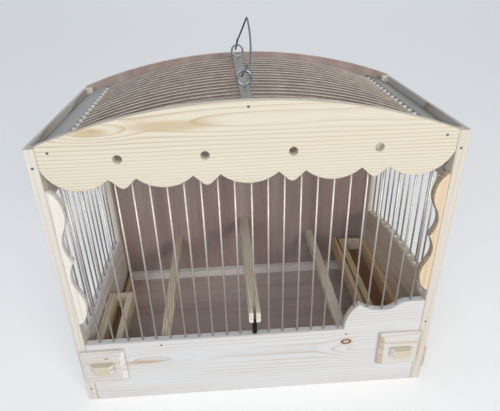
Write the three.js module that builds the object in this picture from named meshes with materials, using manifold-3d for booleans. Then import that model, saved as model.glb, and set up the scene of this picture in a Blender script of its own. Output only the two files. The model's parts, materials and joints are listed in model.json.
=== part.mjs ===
// Canary breeding cage: pine frame with an arched roof, wire sides, two seed drawers,
// a sand tray that pulls out to the right, three perches and a wire carrying bail.
// Millimetres, +Z up, front face at -Y, origin on the ground under the middle of the base board.
import * as THREE from 'three';
import { mergeVertices } from 'three/addons/utils/BufferGeometryUtils.js';
import Module from 'manifold-3d';

const wasm = await Module();
wasm.setup();

// ---- driving dimensions -------------------------------------------------------------------
const width = 380; // outside of the two side frames
const depth = 222; // front boards' face to the back panel's face
const eaves = 302; // top of the stiles
const crown = 336; // top of the arch at mid width
const gap = 0.3; // joint line left between pieces that touch

const stile = 10; // side frame timber, square
const boardT = 8; // front boards
const panelT = 5; // back plywood
const baseT = 5; // fixed bottom plywood

const wireD = 2;
const wirePitch = 15; // front and side wires
const wireMargin = 6; // least distance from the last wire to the wood beside it

const sill = 82; // top of the front and left lower boards
const raisedTop = 115.2; // flat end of the raised scroll on the front board
// The scroll, as distances in from the board's right end, with the heights of its tip and dip.
const scroll = { start: 83.7, tip: 69.1, tipZ: 114.3, dip: 42.2, dipZ: 105.2, shoulder: 16.7 };

const headerDrop = 0.8; // the header's crown lies this far under the back panel's
const headerShoulder = 0.5; // its right end this far over the stile
const headerLean = 2; // and the crown of its arch this far to the left of the middle
const holePitch = 75; // holes and pointed tabs of the header
// The header is sawn by hand: how far each tab and each hole is off its place, from left to right.
const tabShift = [0.5, -1.3, -1.2, -2.6];
const holeShift = [-0.8, -1.7, -0.8, -0.7];
const headerMargin = 20; // least run of the curve that ends the scalloped edge
const holeD = 8;
const holeZ = 289.5;
const cuspZ = 271.3; // inner corners of the scalloped edge
const lobeDrop = 9.7; // how far lobes and tabs hang below the corners
const tabHalf = 12;
const tabTipHalf = 3.4;
const headerEndZ = 283; // lower corner of the header at the stiles

const railH = 52; // upper side board
const lipT = 3; // outer lip left beside the roof slat's rabbet
const rightBoardFront = 113; // right lower board: low front end
const rightBoardPeak = 130.5;
const rightBoardBack = 109.3;
const traySlotTop = 21; // underside of the right wall over the tray

const slatOverhang = 27; // from the outside of the side frame to the slat's inner edge
const slatInnerZ = 302.3;
const slatW = 25;
const slatT = 5;
const slatTilt = 18.3; // degrees, along the arch
const ridgeX = -2;
const ridgeW = 9.5;
const ridgeH = 8;
const ridgeTop = 334.5;
const roofPitch = 12.5;
const roofFirst = 16.5; // first roof wire behind the front face

const bracketReach = 11.5;
const bracketValley = 3;
const bracketCusp = 9;
const brackets = {
  left: { mid: 187, half: 76 },
  right: { mid: 195, half: 66 },
};

const trayBottomT = 3;
const trayRimW = 9.7;
const trayRimLeftW = 6;
const trayRimTop = 19.3;
const trayLeftClear = 4;
const trayFrontT = 7;
const trayFrontZ = [12, 42];
const trayFrontInset = [4, 5]; // from the cage's front face and from its back
const slide = 0.5; // running clearance beside drawers and tray

const drawerFrontW = 46;
const drawerFrontH = 45;
const drawerFrontT = 7;
const drawerFrontZ = 30;
const bevelW = 4.6;
const bevelD = 4;
const drawerZ = [42, 64];
const drawerBottomT = 3;
const drawerSide = { left: 1.3, right: 0.7 }; // left between each drawer and the side frame beside it
// w, walls (left and right) and length of the box; frontIn from the front board's end to the
// middle of the drawer's front.
const drawers = {
  left: { outer: -1, w: 30.2, walls: [9.3, 7.3], backT: 6.5, length: depth / 2 - 2, frontIn: 16.2, knobZ: 57.3 },
  right: { outer: 1, w: 38.8, walls: [7, 7], backT: 4, length: depth - 14, frontIn: 21.2, knobZ: 53.2 },
};
const knob = { w: 23, h: 11.5, d: 6.5, chamfer: 4 };
const shelfT = 6;
const shelfInset = 4; // the shelf stops short of the drawer's side
const guideT = 6;
const guideTop = 62;
const guideFoot = 44; // its outer half ends here, above the ledge
const guideGap = 2;
const ledgeW = 7;

const lowPerch = { fromMid: 97, w: 11, h: 12.5, top: 77, round: 2 };
const highPerch = { w: 12.5, h: 12.5, frontTop: 114.5, backTop: 105, tip: 2.5, round: 2.2 };
const perchSlot = { w: 2.8, length: 13 };
const sleeveD = 5;
const sleeveBore = 2.8;

const eye = { ringR: 6.2, wire: 2.2, z: 343.6, front: 45, back: depth - 39 };
const bail = { wire: 1.8, above: 1.4, aside: -1.8, rise: 42, lean: 13.4, hook: 5.4, tail: 11.5 };

// ---- places worked out from them ----------------------------------------------------------
const half = width / 2;
const inner = half - stile; // inside faces of the side frames
const front = -depth / 2;
const back = depth / 2;
const panelFace = back - panelT;
const boardFace = front + boardT; // rear faces of the front boards
const wireY = front + boardT / 2;
const boardHalf = inner - gap; // front boards end here, between the stiles
const railZ = eaves - railH;
// Height of an arch at x, from the height of its ends, half its span and its crown.
function archZ(x, top = crown, ends = eaves, halfSpan = half) {
  const rise = top - ends;
  const radius = (halfSpan * halfSpan + rise * rise) / (2 * rise);
  return top - radius + Math.sqrt(radius * radius - x * x);
}
const wiresEachSide = (halfRun, margin) => Math.floor((halfRun - margin) / wirePitch);

// ---- helpers ------------------------------------------------------------------------------
const rad = THREE.MathUtils.degToRad;
const frontPlane = new THREE.Matrix4().makeBasis(
  new THREE.Vector3(1, 0, 0), new THREE.Vector3(0, 0, 1), new THREE.Vector3(0, -1, 0));
const sidePlane = new THREE.Matrix4().makeBasis(
  new THREE.Vector3(0, 1, 0), new THREE.Vector3(0, 0, 1), new THREE.Vector3(1, 0, 0));

function solid(geometry) {
  const bare = geometry.clone();
  bare.deleteAttribute('normal');
  bare.deleteAttribute('uv');
  const merged = mergeVertices(bare, 1e-4);
  return new wasm.Manifold(new wasm.Mesh({
    numProp: 3,
    vertProperties: new Float32Array(merged.attributes.position.array),
    triVerts: new Uint32Array(merged.index.array),
  }));
}

function geometryOf(manifold) {
  const mesh = manifold.getMesh();
  const geometry = new THREE.BufferGeometry();
  geometry.setAttribute('position', new THREE.BufferAttribute(mesh.vertProperties, 3));
  geometry.setIndex(new THREE.BufferAttribute(mesh.triVerts, 1));
  return geometry;
}

function join(first, others) {
  let whole = solid(first);
  for (const other of others) whole = whole.add(solid(other));
  return geometryOf(whole);
}

function cut(first, tools) {
  let rest = solid(first);
  for (const tool of tools) rest = rest.subtract(solid(tool));
  return geometryOf(rest);
}

function block(x0, x1, y0, y1, z0, z1) {
  const box = new THREE.BoxGeometry(x1 - x0, y1 - y0, z1 - z0);
  return box.translate((x0 + x1) / 2, (y0 + y1) / 2, (z0 + z1) / 2);
}

// A board with its outline in x and z, its front face at y0.
function frontBoard(shape, thickness, y0, curveSegments = 8) {
  const plate = new THREE.ExtrudeGeometry(shape, { depth: thickness, bevelEnabled: false, curveSegments });
  return plate.applyMatrix4(frontPlane).translate(0, y0 + thickness, 0);
}

// A board with its outline in y and z, its left face at x0.
function sideBoard(shape, thickness, x0, curveSegments = 8) {
  const plate = new THREE.ExtrudeGeometry(shape, { depth: thickness, bevelEnabled: false, curveSegments });
  return plate.applyMatrix4(sidePlane).translate(x0, 0, 0);
}

function rod(diameter, length, sides = 8) {
  const r = diameter / 2;
  return new THREE.CylinderGeometry(r, r, length, sides).rotateX(Math.PI / 2).translate(0, 0, length / 2);
}

function roundedBar(w, h, length, radius) {
  const shape = new THREE.Shape();
  shape.moveTo(-w / 2 + radius, -h / 2);
  shape.lineTo(w / 2 - radius, -h / 2);
  shape.absarc(w / 2 - radius, -h / 2 + radius, radius, -Math.PI / 2, 0);
  shape.lineTo(w / 2, h / 2 - radius);
  shape.absarc(w / 2 - radius, h / 2 - radius, radius, 0, Math.PI / 2);
  shape.lineTo(-w / 2 + radius, h / 2);
  shape.absarc(-w / 2 + radius, h / 2 - radius, radius, Math.PI / 2, Math.PI);
  shape.lineTo(-w / 2, -h / 2 + radius);
  shape.absarc(-w / 2 + radius, -h / 2 + radius, radius, Math.PI, Math.PI * 1.5);
  return frontBoard(shape, length, 0, 3);
}

function circleShape(diameter, sides) {
  const points = [];
  for (let i = 0; i < sides; i += 1) {
    const a = (i / sides) * 2 * Math.PI;
    points.push(new THREE.Vector2(Math.cos(a) * diameter / 2, Math.sin(a) * diameter / 2));
  }
  return new THREE.Shape(points);
}

const pine = (color) => new THREE.MeshStandardMaterial({ color, roughness: 0.7, metalness: 0 });
const materials = {
  pine: pine(0xe8dcc6),
  palePine: pine(0xe2e0dc),
  plywood: pine(0x8a6a58),
  wire: new THREE.MeshStandardMaterial({ color: 0xc9c5bf, roughness: 0.4, metalness: 0.9 }),
  zinc: new THREE.MeshStandardMaterial({ color: 0xb9c4cb, roughness: 0.35, metalness: 0.9 }),
  rubber: new THREE.MeshStandardMaterial({ color: 0x121213, roughness: 0.6, metalness: 0 }),
};

const cage = new THREE.Group();

function add(name, geometry, material) {
  const mesh = new THREE.Mesh(geometry, materials[material]);
  mesh.name = name;
  cage.add(mesh);
}

// ---- front: header with its wires, bottom board, stiles, brackets -------------------------
const holeCount = Math.floor((2 * boardHalf - 2 * headerMargin) / holePitch);
const places = Array.from({ length: holeCount }, (_, i) => (i - (holeCount - 1) / 2) * holePitch);
const tabXs = places.map((x, i) => x + tabShift[i % tabShift.length]);
const holeXs = places.map((x, i) => x + holeShift[i % holeShift.length]);
const lobeZ = cuspZ - lobeDrop;

// A stretch of a round lobe whose lowest point is at lowX. It rises by riseBy over the distance run.
function lobeArc(shape, lowX, run, riseBy, fromX, toX) {
  const radius = (run * run + riseBy * riseBy) / (2 * riseBy);
  const steps = Math.max(4, Math.round(Math.abs(toX - fromX) / 2.6));
  for (let i = 1; i <= steps; i += 1) {
    const x = fromX + ((toX - fromX) * i) / steps;
    shape.lineTo(x, lobeZ + radius - Math.sqrt(radius * radius - (x - lowX) * (x - lowX)));
  }
}

function headerShape() {
  const shape = new THREE.Shape();
  const lows = [-1, 1].map((s) => tabXs[s < 0 ? 0 : tabXs.length - 1] + s * holePitch / 2);
  const endRise = headerEndZ - lobeZ;
  const outerLobe = holePitch / 2 - tabHalf;
  shape.moveTo(-boardHalf, headerEndZ);
  lobeArc(shape, lows[0], boardHalf + lows[0], endRise, -boardHalf, lows[0]);
  lobeArc(shape, lows[0], outerLobe, lobeDrop, lows[0], tabXs[0] - tabHalf);
  tabXs.forEach((x, i) => {
    shape.lineTo(x - tabTipHalf, lobeZ + 1.6);
    shape.quadraticCurveTo(x, lobeZ - 1, x + tabTipHalf, lobeZ + 1.6);
    shape.lineTo(x + tabHalf, cuspZ);
    if (i + 1 === tabXs.length) return;
    const next = tabXs[i + 1];
    lobeArc(shape, (x + next) / 2, (next - x) / 2 - tabHalf, lobeDrop, x + tabHalf, next - tabHalf);
  });
  lobeArc(shape, lows[1], outerLobe, lobeDrop, lows[1] - outerLobe, lows[1]);
  lobeArc(shape, lows[1], boardHalf - lows[1], endRise, lows[1], boardHalf);
  const topSteps = 30;
  for (let i = 0; i <= topSteps; i += 1) {
    const x = boardHalf - (2 * boardHalf * i) / topSteps;
    shape.lineTo(x, archZ(x + headerLean, crown - headerDrop, eaves + headerShoulder, boardHalf + headerLean));
  }
  for (const x of holeXs) {
    const hole = new THREE.Path();
    hole.absarc(x, holeZ, holeD / 2, 0, 2 * Math.PI);
    shape.holes.push(hole);
  }
  return shape;
}

// Top edge of the front bottom board: level, then a raised scroll at the right.
function bottomBoardShape() {
  const shape = new THREE.Shape();
  shape.moveTo(-boardHalf, 0);
  shape.lineTo(boardHalf, 0);
  shape.lineTo(boardHalf, raisedTop);
  const at = (inset) => boardHalf - inset;
  shape.lineTo(at(scroll.shoulder), raisedTop);
  shape.bezierCurveTo(at(scroll.shoulder + 13), raisedTop, at(scroll.dip - 11.5), scroll.dipZ,
    at(scroll.dip), scroll.dipZ);
  shape.bezierCurveTo(at(scroll.dip + 9.5), scroll.dipZ, at(scroll.tip - 7.4), scroll.dipZ + 3.3,
    at(scroll.tip), scroll.tipZ);
  shape.quadraticCurveTo(at(scroll.start - 1.5), scroll.dipZ, at(scroll.start), sill + 4);
  shape.lineTo(at(scroll.start), sill);
  shape.lineTo(-boardHalf, sill);
  return shape;
}

function heightOn(shape, x, from) {
  let z = from;
  const points = shape.getPoints(24);
  for (let i = 0; i < points.length; i += 1) {
    const a = points[i];
    const b = points[(i + 1) % points.length];
    const low = Math.min(a.x, b.x);
    const high = Math.max(a.x, b.x);
    if (x < low || x > high || high - low < 1e-6) continue;
    z = Math.max(z, a.y + ((b.y - a.y) * (x - a.x)) / (b.x - a.x));
  }
  return z;
}

const bottomShape = bottomBoardShape();
const frontWireRods = [];
const frontSide = wiresEachSide(boardHalf, bracketReach + wireD); // clear of the brackets
for (let i = -frontSide; i <= frontSide; i += 1) {
  const x = i * wirePitch;
  const reach = wireD / 2;
  const foot = Math.max(...[x - reach, x, x + reach].map((at) => heightOn(bottomShape, at, sill))) + gap;
  frontWireRods.push(rod(wireD, holeZ - holeD - foot).translate(x, wireY, foot));
}
add('front_header', join(frontBoard(headerShape(), boardT, front), frontWireRods), 'pine');

for (const [side, spec] of Object.entries(drawers)) {
  spec.x = spec.outer * (inner - drawerSide[side] - spec.w / 2);
  spec.frontX = spec.outer * (boardHalf - spec.frontIn);
}
function drawerNotch(spec) {
  const near = spec.x - spec.outer * (spec.w / 2 + slide);
  const far = spec.outer * (inner + gap);
  return block(Math.min(near, far), Math.max(near, far), front - 1, boardFace + 1,
    drawerZ[0] - slide, drawerZ[1] + slide);
}
add('front_bottom_board',
  cut(frontBoard(bottomShape, boardT, front, 10), [drawerNotch(drawers.left), drawerNotch(drawers.right)]),
  'palePine');

for (const [side, s] of [['left', -1], ['right', 1]]) {
  const x0 = Math.min(s * inner, s * half);
  add(`front_stile_${side}`, block(x0, x0 + stile, front, front + stile, 0, eaves), 'pine');
  const foot = s > 0 ? traySlotTop : 0;
  add(`rear_stile_${side}`,
    block(x0, x0 + stile, panelFace - gap - stile, panelFace - gap, foot, eaves), 'pine');
}

// Scalloped strip against a stile: two round lobes with a pointed one between them.
function bracketShape(s, mid, halfLength) {
  const edge = (t, reach) => [s * (boardHalf - reach), mid + t * halfLength];
  const shape = new THREE.Shape();
  shape.moveTo(...edge(1, 0));
  shape.quadraticCurveTo(...edge(0.94, bracketReach * 0.9), ...edge(0.68, bracketReach));
  shape.bezierCurveTo(...edge(0.5, bracketReach), ...edge(0.42, bracketValley), ...edge(0.27, bracketValley));
  shape.quadraticCurveTo(...edge(0.12, bracketValley), ...edge(0, bracketCusp));
  shape.quadraticCurveTo(...edge(-0.12, bracketValley), ...edge(-0.27, bracketValley));
  shape.bezierCurveTo(...edge(-0.42, bracketValley), ...edge(-0.5, bracketReach), ...edge(-0.68, bracketReach));
  shape.quadraticCurveTo(...edge(-0.94, bracketReach * 0.9), ...edge(-1, 0));
  return shape;
}
for (const [side, s] of [['left', -1], ['right', 1]]) {
  const { mid, half: halfLength } = brackets[side];
  add(`bracket_${side}`, frontBoard(bracketShape(s, mid, halfLength), boardT, front, 6), 'pine');
}

// ---- side frames: upper rails with their wires, lower boards ------------------------------
const tilt = rad(slatTilt);
const slatInner = [half - slatOverhang, slatInnerZ];
const slatUnder = (x) => {
  const innerUnderX = slatInner[0] - Math.sin(tilt) * slatT;
  const innerUnderZ = slatInner[1] - Math.cos(tilt) * slatT;
  return innerUnderZ - Math.tan(tilt) * (Math.abs(x) - innerUnderX);
};
const lipX = half - lipT;
const betweenStiles = [front + stile + gap, panelFace - gap - stile - gap];
const sideLength = betweenStiles[1] - betweenStiles[0];
const sideMid = (betweenStiles[0] + betweenStiles[1]) / 2;

function sideRail(s) {
  const shape = new THREE.Shape();
  shape.moveTo(s * half, railZ);
  shape.lineTo(s * half, eaves);
  shape.lineTo(s * lipX, eaves);
  shape.lineTo(s * lipX, slatUnder(lipX) - gap);
  shape.lineTo(s * inner, slatUnder(inner) - gap);
  shape.lineTo(s * inner, railZ);
  return frontBoard(shape, sideLength, betweenStiles[0]);
}

function rightBoardShape() {
  const [y0, y1] = betweenStiles;
  const shape = new THREE.Shape();
  shape.moveTo(y0, traySlotTop);
  shape.lineTo(y1, traySlotTop);
  shape.lineTo(y1, rightBoardBack);
  shape.bezierCurveTo(y1 - sideLength * 0.18, rightBoardBack + 4.7, y1 - sideLength * 0.235, rightBoardPeak - 1,
    y0 + 28, rightBoardPeak);
  shape.bezierCurveTo(y0 + 14, rightBoardPeak, y0 + 16, rightBoardFront, y0 + 4, rightBoardFront);
  shape.lineTo(y0, rightBoardFront);
  return shape;
}

function leftBoardShape() {
  const [y0, y1] = betweenStiles;
  return new THREE.Shape([[y0, 0], [y1, 0], [y1, sill], [y0, sill]].map((p) => new THREE.Vector2(...p)));
}

for (const [side, s, boardShape] of [['left', -1, leftBoardShape()], ['right', 1, rightBoardShape()]]) {
  const wires = [];
  const eachSide = wiresEachSide(sideLength / 2, wireMargin);
  for (let i = -eachSide; i <= eachSide; i += 1) {
    const y = sideMid + i * wirePitch;
    const reach = wireD / 2;
    const foot = Math.max(...[y - reach, y, y + reach].map((at) => heightOn(boardShape, at, sill))) + gap;
    wires.push(rod(wireD, railZ + railH / 4 - foot).translate(s * (inner + stile / 2), y, foot));
  }
  add(`side_rail_${side}`, join(sideRail(s), wires), 'pine');
  add(`side_board_${side}`, sideBoard(boardShape, stile, Math.min(s * inner, s * half), 10), 'palePine');
}

// ---- roof: slats on the side rails, ridge bar with the arched wires -----------------------
const roofY = [boardFace + gap, panelFace - gap];
const roofLength = roofY[1] - roofY[0];

// The slats lie in the rails' rabbets and are notched round the stiles.
for (const [side, s] of [['left', -1], ['right', 1]]) {
  const slat = block(0, slatW - gap, roofY[0], roofY[1], -slatT, 0).rotateY(s * tilt);
  if (s < 0) slat.translate(-Math.cos(tilt) * (slatW - gap), 0, -Math.sin(tilt) * (slatW - gap));
  slat.translate(s * slatInner[0], 0, slatInner[1]);
  const notchX = [Math.min(s * boardHalf, s * (half + 1)), Math.max(s * boardHalf, s * (half + 1))];
  add(`roof_slat_${side}`, cut(slat, [
    block(...notchX, roofY[0] - 1, betweenStiles[0], slatInner[1] - slatW, eaves + 1),
    block(...notchX, betweenStiles[1], roofY[1] + 1, slatInner[1] - slatW, eaves + 1),
  ]), 'pine');
}

// Each wire is an arc from slat to slat, highest where it passes through the ridge bar.
const wireTop = ridgeTop - ridgeH / 2;
const slatEdge = [
  slatInner[0] - Math.sin(tilt) * slatT / 2 - gap * Math.cos(tilt),
  slatInner[1] - Math.cos(tilt) * slatT / 2 + gap * Math.sin(tilt),
];
const wireSag = wireTop - slatEdge[1];
const wireR = (slatEdge[0] * slatEdge[0] + wireSag * wireSag) / (2 * wireSag);
class RoofArc extends THREE.Curve {
  getPoint(t, target = new THREE.Vector3()) {
    const a = Math.asin(slatEdge[0] / wireR) * (2 * t - 1);
    return target.set(wireR * Math.sin(a), 0, wireTop - wireR + wireR * Math.cos(a));
  }
}
const roofWire = new THREE.ExtrudeGeometry(circleShape(wireD, 8),
  { steps: 18, extrudePath: new RoofArc(), bevelEnabled: false });
const roofRods = [];
const roofWires = Math.floor((roofLength + boardT - roofFirst - wireMargin) / roofPitch);
for (let i = 0; i <= roofWires; i += 1) {
  roofRods.push(roofWire.clone().translate(0, front + roofFirst + i * roofPitch, 0));
}
const ridgeBar = block(ridgeX - ridgeW / 2, ridgeX + ridgeW / 2, roofY[0], roofY[1],
  ridgeTop - ridgeH, ridgeTop);
add('ridge_bar', join(ridgeBar, roofRods), 'pine');

// ---- back and base ------------------------------------------------------------------------
function backShape() {
  const shape = new THREE.Shape();
  shape.moveTo(-half, 0);
  shape.lineTo(half, 0);
  const steps = 28;
  for (let i = 0; i <= steps; i += 1) {
    const x = half - (width * i) / steps;
    shape.lineTo(x, archZ(x));
  }
  return shape;
}
add('back_panel', frontBoard(backShape(), panelT, panelFace), 'plywood');
add('base_board', block(-boardHalf, boardHalf, boardFace + gap, panelFace - gap, 0, baseT), 'plywood');

// ---- sand tray, pulls out to the right ----------------------------------------------------
const trayX = [-inner + trayLeftClear, half];
const trayY = [front + stile + slide, panelFace - slide];
const trayZ = baseT + gap;
const rimZ = trayZ + trayBottomT + gap;
add('tray_bottom', block(...trayX, ...trayY, trayZ, trayZ + trayBottomT), 'plywood');
add('tray_rim_front', block(...trayX, trayY[0], trayY[0] + trayRimW, rimZ, trayRimTop), 'pine');
add('tray_rim_back', block(...trayX, trayY[1] - trayRimW, trayY[1], rimZ, trayRimTop), 'pine');
add('tray_rim_left', block(trayX[0], trayX[0] + trayRimLeftW,
  trayY[0] + trayRimW + gap, trayY[1] - trayRimW - gap, rimZ, trayRimTop), 'pine');

// A board with a bevelled face: w across, h high, its back face at y = 0, face towards -y.
function bevelledFront(w, h, t) {
  const flat = t - bevelD;
  const face = new THREE.BufferGeometry();
  const ring = (inset, y) => [[-1, 0], [1, 0], [1, 1], [-1, 1]].map(([sx, top]) =>
    [sx * (w / 2 - inset), y, top ? h - inset : inset]);
  const rings = [ring(0, 0), ring(0, -flat), ring(bevelW, -t)];
  const points = rings.flat().flat();
  const index = [0, 2, 1, 0, 3, 2];
  for (let level = 0; level < 2; level += 1) {
    for (let i = 0; i < 4; i += 1) {
      const a = level * 4 + i;
      const b = level * 4 + ((i + 1) % 4);
      index.push(a, b, b + 4, a, b + 4, a + 4);
    }
  }
  index.push(8, 9, 10, 8, 10, 11);
  face.setAttribute('position', new THREE.Float32BufferAttribute(points, 3));
  face.setIndex(index);
  return face;
}

// A block with chamfered ends, its back face at y = 0, reaching towards -y.
function knobBlock() {
  const shape = new THREE.Shape();
  shape.moveTo(-knob.w / 2, 0);
  shape.lineTo(-knob.w / 2, -(knob.d - knob.chamfer));
  shape.lineTo(-knob.w / 2 + knob.chamfer, -knob.d);
  shape.lineTo(knob.w / 2 - knob.chamfer, -knob.d);
  shape.lineTo(knob.w / 2, -(knob.d - knob.chamfer));
  shape.lineTo(knob.w / 2, 0);
  return new THREE.ExtrudeGeometry(shape, { depth: knob.h, bevelEnabled: false }).translate(0, 0, -knob.h / 2);
}

const trayFrontMid = (trayFrontInset[0] - trayFrontInset[1]) / 2;
const trayFrontW = depth - trayFrontInset[0] - trayFrontInset[1];
add('tray_front', bevelledFront(trayFrontW, trayFrontZ[1] - trayFrontZ[0], trayFrontT)
  .rotateZ(Math.PI / 2).translate(half + gap, trayFrontMid, trayFrontZ[0]), 'palePine');
add('tray_knob', knobBlock().rotateZ(Math.PI / 2)
  .translate(half + trayFrontT + 2 * gap, trayFrontMid, (trayFrontZ[0] + trayFrontZ[1]) / 2), 'pine');

// ---- seed drawers, pull out to the front --------------------------------------------------
for (const [side, spec] of Object.entries(drawers)) {
  const x0 = spec.x - spec.w / 2;
  const x1 = spec.x + spec.w / 2;
  const y1 = front + spec.length;
  const wallZ = drawerZ[0] + drawerBottomT + gap;
  const name = `${side}_drawer`;
  add(`${name}_front`, bevelledFront(drawerFrontW, drawerFrontH, drawerFrontT)
    .translate(spec.frontX, front - gap, drawerFrontZ), 'palePine');
  add(`${name}_knob`, knobBlock().translate(spec.frontX, front - 2 * gap - drawerFrontT, spec.knobZ), 'pine');
  add(`${name}_bottom`, block(x0, x1, front, y1, drawerZ[0], drawerZ[0] + drawerBottomT), 'plywood');
  add(`${name}_side_left`, block(x0, x0 + spec.walls[0], front, y1, wallZ, drawerZ[1]), 'pine');
  add(`${name}_side_right`, block(x1 - spec.walls[1], x1, front, y1, wallZ, drawerZ[1]), 'pine');
  add(`${name}_back`, block(x0 + spec.walls[0] + gap, x1 - spec.walls[1] - gap,
    y1 - spec.backT, y1, wallZ, drawerZ[1]), 'pine');
}

// What the drawers run on: a shelf at the left, an L guide and a runner at the right.
const runY = [boardFace + gap, panelFace - gap];
const runTop = drawerZ[0] - gap;
const { left, right } = drawers;
add('drawer_shelf_left', block(-boardHalf, left.x + left.w / 2 - shelfInset, runY[0],
  front + left.length - left.backT, runTop - shelfT, runTop), 'plywood');
const guideX = right.x - right.w / 2 - guideGap;
const guideShape = new THREE.Shape();
guideShape.moveTo(guideX - guideT / 2, runTop - shelfT);
guideShape.lineTo(guideX + ledgeW, runTop - shelfT);
guideShape.lineTo(guideX + ledgeW, runTop);
guideShape.lineTo(guideX, runTop);
guideShape.lineTo(guideX, guideTop);
guideShape.lineTo(guideX - guideT, guideTop);
guideShape.lineTo(guideX - guideT, guideFoot);
guideShape.lineTo(guideX - guideT / 2, guideFoot);
add('drawer_guide_right', frontBoard(guideShape, runY[1] - runY[0], runY[0]), 'pine');
add('drawer_runner_right', block(right.x + right.w / 2 - ledgeW, boardHalf,
  runY[0], panelFace - gap, runTop - shelfT, runTop), 'pine');

// ---- perches ------------------------------------------------------------------------------
for (const [side, s] of [['left', -1], ['right', 1]]) {
  add(`lower_perch_${side}`, roundedBar(lowPerch.w, lowPerch.h, roofLength, lowPerch.round)
    .translate(s * lowPerch.fromMid, roofY[0], lowPerch.top - lowPerch.h / 2), 'pine');
}

const highFront = front - highPerch.tip;
const highLength = panelFace - gap - highFront;
const highTilt = Math.atan((highPerch.frontTop - highPerch.backTop) / highLength);
const highBar = roundedBar(highPerch.w, highPerch.h, highLength / Math.cos(highTilt) - 1, highPerch.round);
const slotTool = block(-perchSlot.w / 2, perchSlot.w / 2, -1, perchSlot.length, -highPerch.h, highPerch.h);
add('centre_perch', cut(highBar, [slotTool]).rotateX(-highTilt)
  .translate(0, highFront, highPerch.frontTop - highPerch.h / 2), 'pine');

// The rubber sleeve on the middle wire that the slotted perch stands on.
const perchUnder = highPerch.frontTop - highPerch.h - Math.tan(highTilt) * (wireY + sleeveD / 2 - highFront);
const sleeveZ = [sill + gap, perchUnder - 2 * gap];
add('perch_sleeve', cut(rod(sleeveD, sleeveZ[1] - sleeveZ[0], 16).translate(0, wireY, sleeveZ[0]),
  [rod(sleeveBore, sleeveZ[1] - sleeveZ[0] + 2, 12).translate(0, wireY, sleeveZ[0] - 1)]), 'rubber');

// ---- eye screws and carrying bail ---------------------------------------------------------
function wireAlong(points, diameter, steps) {
  const path = new THREE.CatmullRomCurve3(points.map((p) => new THREE.Vector3(...p)), false, 'centripetal');
  return new THREE.ExtrudeGeometry(circleShape(diameter, 8), { steps, extrudePath: path, bevelEnabled: false });
}

// One wire: it rises out of the ridge bar, bends round into a ring and ends beside its own neck.
function eyeScrew(y) {
  const points = [[0, 0, ridgeTop + gap - eye.z], [0, 0, -1.3 * eye.ringR]];
  for (let a = -55; a <= 236; a += 20.8) {
    points.push([eye.ringR * Math.cos(rad(a)), 0, eye.ringR * Math.sin(rad(a))]);
  }
  points.push([-eye.wire * 0.85, 0, -eye.ringR]);
  return wireAlong(points, eye.wire, 44).translate(ridgeX, y, eye.z);
}
add('eye_screw_front', eyeScrew(front + eye.front), 'zinc');
add('eye_screw_rear', eyeScrew(front + eye.back), 'zinc');

// The bail hangs in both rings: each end goes through its ring and turns up into a short tail.
const bailMid = front + (eye.front + eye.back) / 2;
const bailHalf = (eye.back - eye.front) / 2;
const hookStep = bail.hook / 2;
// Each row: distance from the middle, height over the hinge line, and the front leg's bow to the right.
const leg = [
  [bailHalf + hookStep + 0.6, bail.tail, 2.4],
  [bailHalf + hookStep, hookStep, 0.5],
  [bailHalf + hookStep * 0.7, hookStep * 0.3, 0],
  [bailHalf, 0, 0],
  [bailHalf - hookStep * 0.7, hookStep * 0.3, 0],
  [bailHalf - hookStep, hookStep, 0.8],
  [bailHalf - hookStep - 0.4, bail.rise * 0.16, 3.4],
  [bailHalf - hookStep - 1.6, bail.rise * 0.25, 5.1],
  [bailHalf - hookStep - 6, bail.rise * 0.31, 5.3],
  [bailHalf * 0.62, bail.rise * 0.51, 5.2],
  [bailHalf * 0.39, bail.rise * 0.69, 4.1],
  [bailHalf * 0.1, bail.rise * 0.93, 1.2],
];
const bailPoints = [...leg.map(([y, z]) => [0, y, z]), [0, 0, bail.rise],
  ...leg.map(([y, z, bow]) => [bow, -y, z]).reverse()];
add('bail_handle', wireAlong(bailPoints, bail.wire, 110).rotateY(rad(bail.lean))
  .translate(ridgeX + bail.aside, bailMid, eye.z + bail.above), 'zinc');

export default cage;
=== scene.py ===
# Canary breeding cage: bare pine, meranti plywood, zinc-plated wire.
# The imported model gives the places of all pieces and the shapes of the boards. This script dresses it.
import json
import math

import bmesh
import bpy
from mathutils import Matrix, Vector
from mathutils.bvhtree import BVHTree


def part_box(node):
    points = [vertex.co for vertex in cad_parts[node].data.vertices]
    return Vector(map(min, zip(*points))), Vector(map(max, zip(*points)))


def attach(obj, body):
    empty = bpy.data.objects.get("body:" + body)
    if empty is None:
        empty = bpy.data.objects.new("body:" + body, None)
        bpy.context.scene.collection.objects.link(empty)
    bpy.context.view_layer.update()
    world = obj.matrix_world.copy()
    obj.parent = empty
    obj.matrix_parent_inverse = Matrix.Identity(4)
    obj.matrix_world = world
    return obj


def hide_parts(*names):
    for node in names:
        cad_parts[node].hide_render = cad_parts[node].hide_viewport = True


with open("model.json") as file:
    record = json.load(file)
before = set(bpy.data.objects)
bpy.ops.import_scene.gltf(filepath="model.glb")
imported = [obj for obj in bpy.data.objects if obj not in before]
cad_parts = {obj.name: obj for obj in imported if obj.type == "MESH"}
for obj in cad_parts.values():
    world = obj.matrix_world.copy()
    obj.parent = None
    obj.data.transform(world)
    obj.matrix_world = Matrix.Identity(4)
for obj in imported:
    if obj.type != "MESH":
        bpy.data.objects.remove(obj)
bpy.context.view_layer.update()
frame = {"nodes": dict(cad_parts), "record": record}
nodes = frame["nodes"]
record = frame["record"]
bodyOf = {name: body for body, names in record["behaviour"]["bodies"].items() for name in names}
mm = 0.001
print("frame loaded:", len(nodes), "nodes")


# Colours and nodes.
def linear(hexText):
    channels = [int(hexText[i:i + 2], 16) / 255 for i in (1, 3, 5)]
    return tuple(c / 12.92 if c <= 0.04045 else ((c + 0.055) / 1.055) ** 2.4 for c in channels) + (1.0,)


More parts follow.
